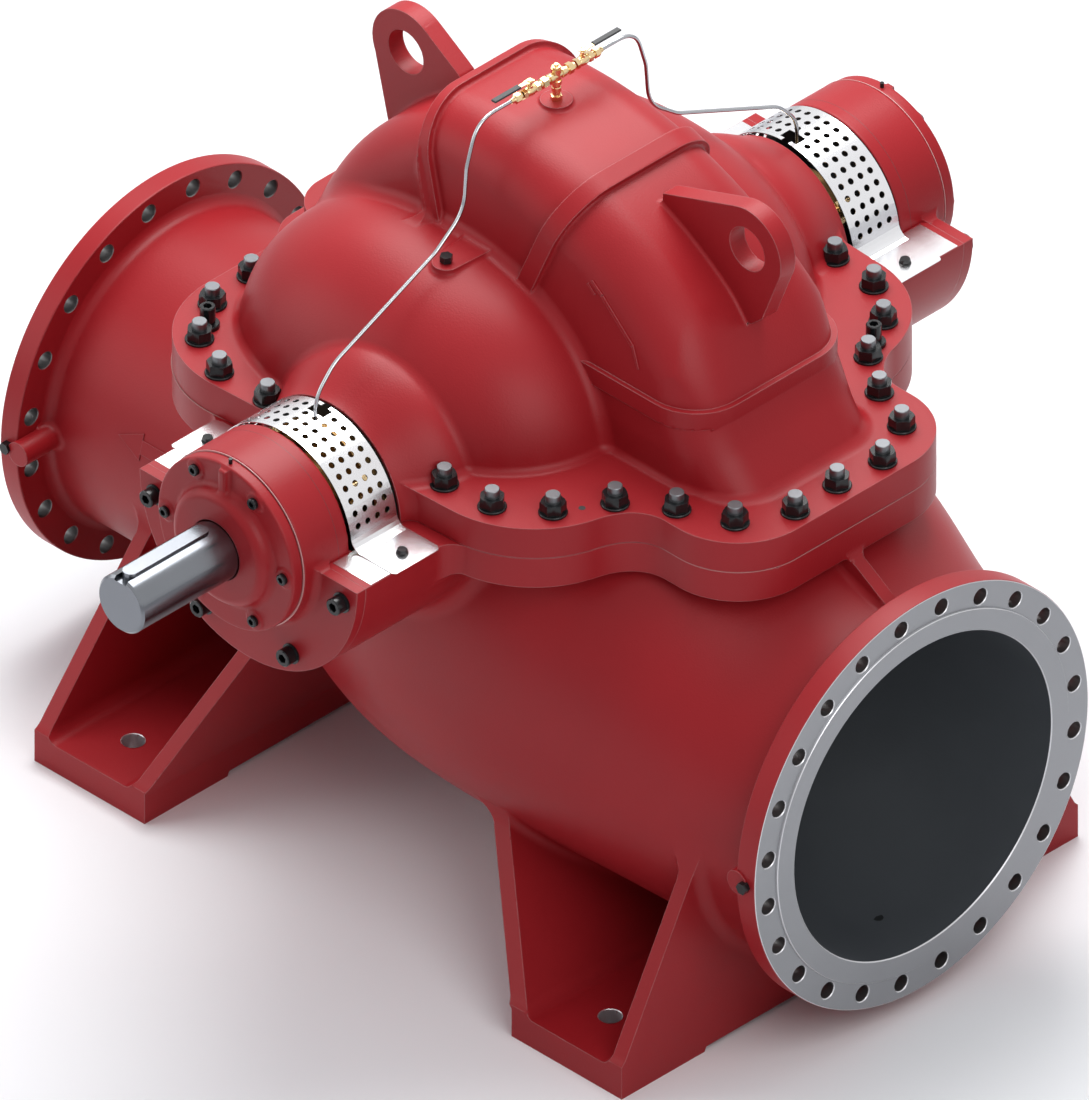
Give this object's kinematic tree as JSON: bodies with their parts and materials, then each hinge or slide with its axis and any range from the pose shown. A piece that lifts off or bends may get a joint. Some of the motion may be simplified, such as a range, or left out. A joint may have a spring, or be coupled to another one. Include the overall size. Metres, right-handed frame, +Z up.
{
  "type": "horizontal split case pump",
  "caption": "Large double-suction pump with a split volute casing on cast feet, flanged nozzles, guarded shaft and a vent and flush manifold.",
  "frame": {"origin": "on the ground, at the middle of the four foundation bolts, under the shaft and the middle plane of the volute", "axes": "+Z up, shaft along Y with its drive end at -Y, suction nozzle looks to +X and discharge nozzle to -X"},
  "size_m": [2.1, 2.101, 1.734],
  "materials": {
    "red_casting": "satin red enamel on a fine cast surface, bare metal on machined faces",
    "gasket": "matte fibre sheet",
    "machined_steel": "machined",
    "stainless": "rolled sheet and drawn tube",
    "shaft_steel": "ground",
    "bronze": "turned",
    "brass": "turned and polished",
    "black_coat": "dipped sleeve",
    "black_oxide": "black oxide"
  },
  "bodies": {
    "casing": {"discharge_flange": "red_casting", "discharge_side_foot": "red_casting", "discharge_tapping_plug": "black_oxide", "drive_end_bearing_cover": "red_casting", "drive_end_bearing_housing": "red_casting", "drive_end_bracket": "red_casting", "drive_end_chamber_plug": "black_oxide", "drive_end_flush_tube": "stainless", "drive_end_flush_valve": "brass", "drive_end_gland": "bronze", "drive_end_grease_nipple": "black_oxide", "drive_end_guard_rails": "machined_steel", "drive_end_shaft_guard": "stainless", "drive_end_tube_nut": "brass", "far_end_bearing_cover": "red_casting", "far_end_bearing_housing": "red_casting", "far_end_bracket": "red_casting", "far_end_chamber_plug": "black_oxide", "far_end_flush_tube": "stainless", "far_end_flush_valve": "brass", "far_end_gland": "bronze", "far_end_grease_nipple": "black_oxide", "far_end_guard_rails": "machined_steel", "far_end_shaft_guard": "stainless", "far_end_tube_nut": "brass", "flush_tee": "brass", "lower_casing": "red_casting", "split_gasket": "gasket", "suction_flange": "red_casting", "suction_side_foot": "red_casting", "suction_tapping_plug": "black_oxide", "tee_plug": "brass", "upper_casing": "red_casting", "vent_nipple": "brass"},
    "rotor": {"pump_shaft": "shaft_steel", "shaft_key": "shaft_steel", "drive_end_shaft_sleeve": "bronze", "far_end_shaft_sleeve": "bronze"},
    "drive_end_lever": {"drive_end_valve_lever": "black_coat"},
    "far_end_lever": {"far_end_valve_lever": "black_coat"}
  },
  "joints": [
    {"name": "rotor_spin", "type": "hinge", "parent": "casing", "child": "rotor", "pos_m": [0, 0, 1.05], "axis": [0, -1, 0], "continuous": true},
    {"name": "drive_end_valve_turn", "type": "hinge", "parent": "casing", "child": "drive_end_lever", "pos_m": [0, -0.072, 1.706], "axis": [0, 0, 1], "range_deg": [0, 90]},
    {"name": "far_end_valve_turn", "type": "hinge", "parent": "casing", "child": "far_end_lever", "pos_m": [0, 0.072, 1.706], "axis": [0, 0, 1], "range_deg": [0, 90]}
  ]
}
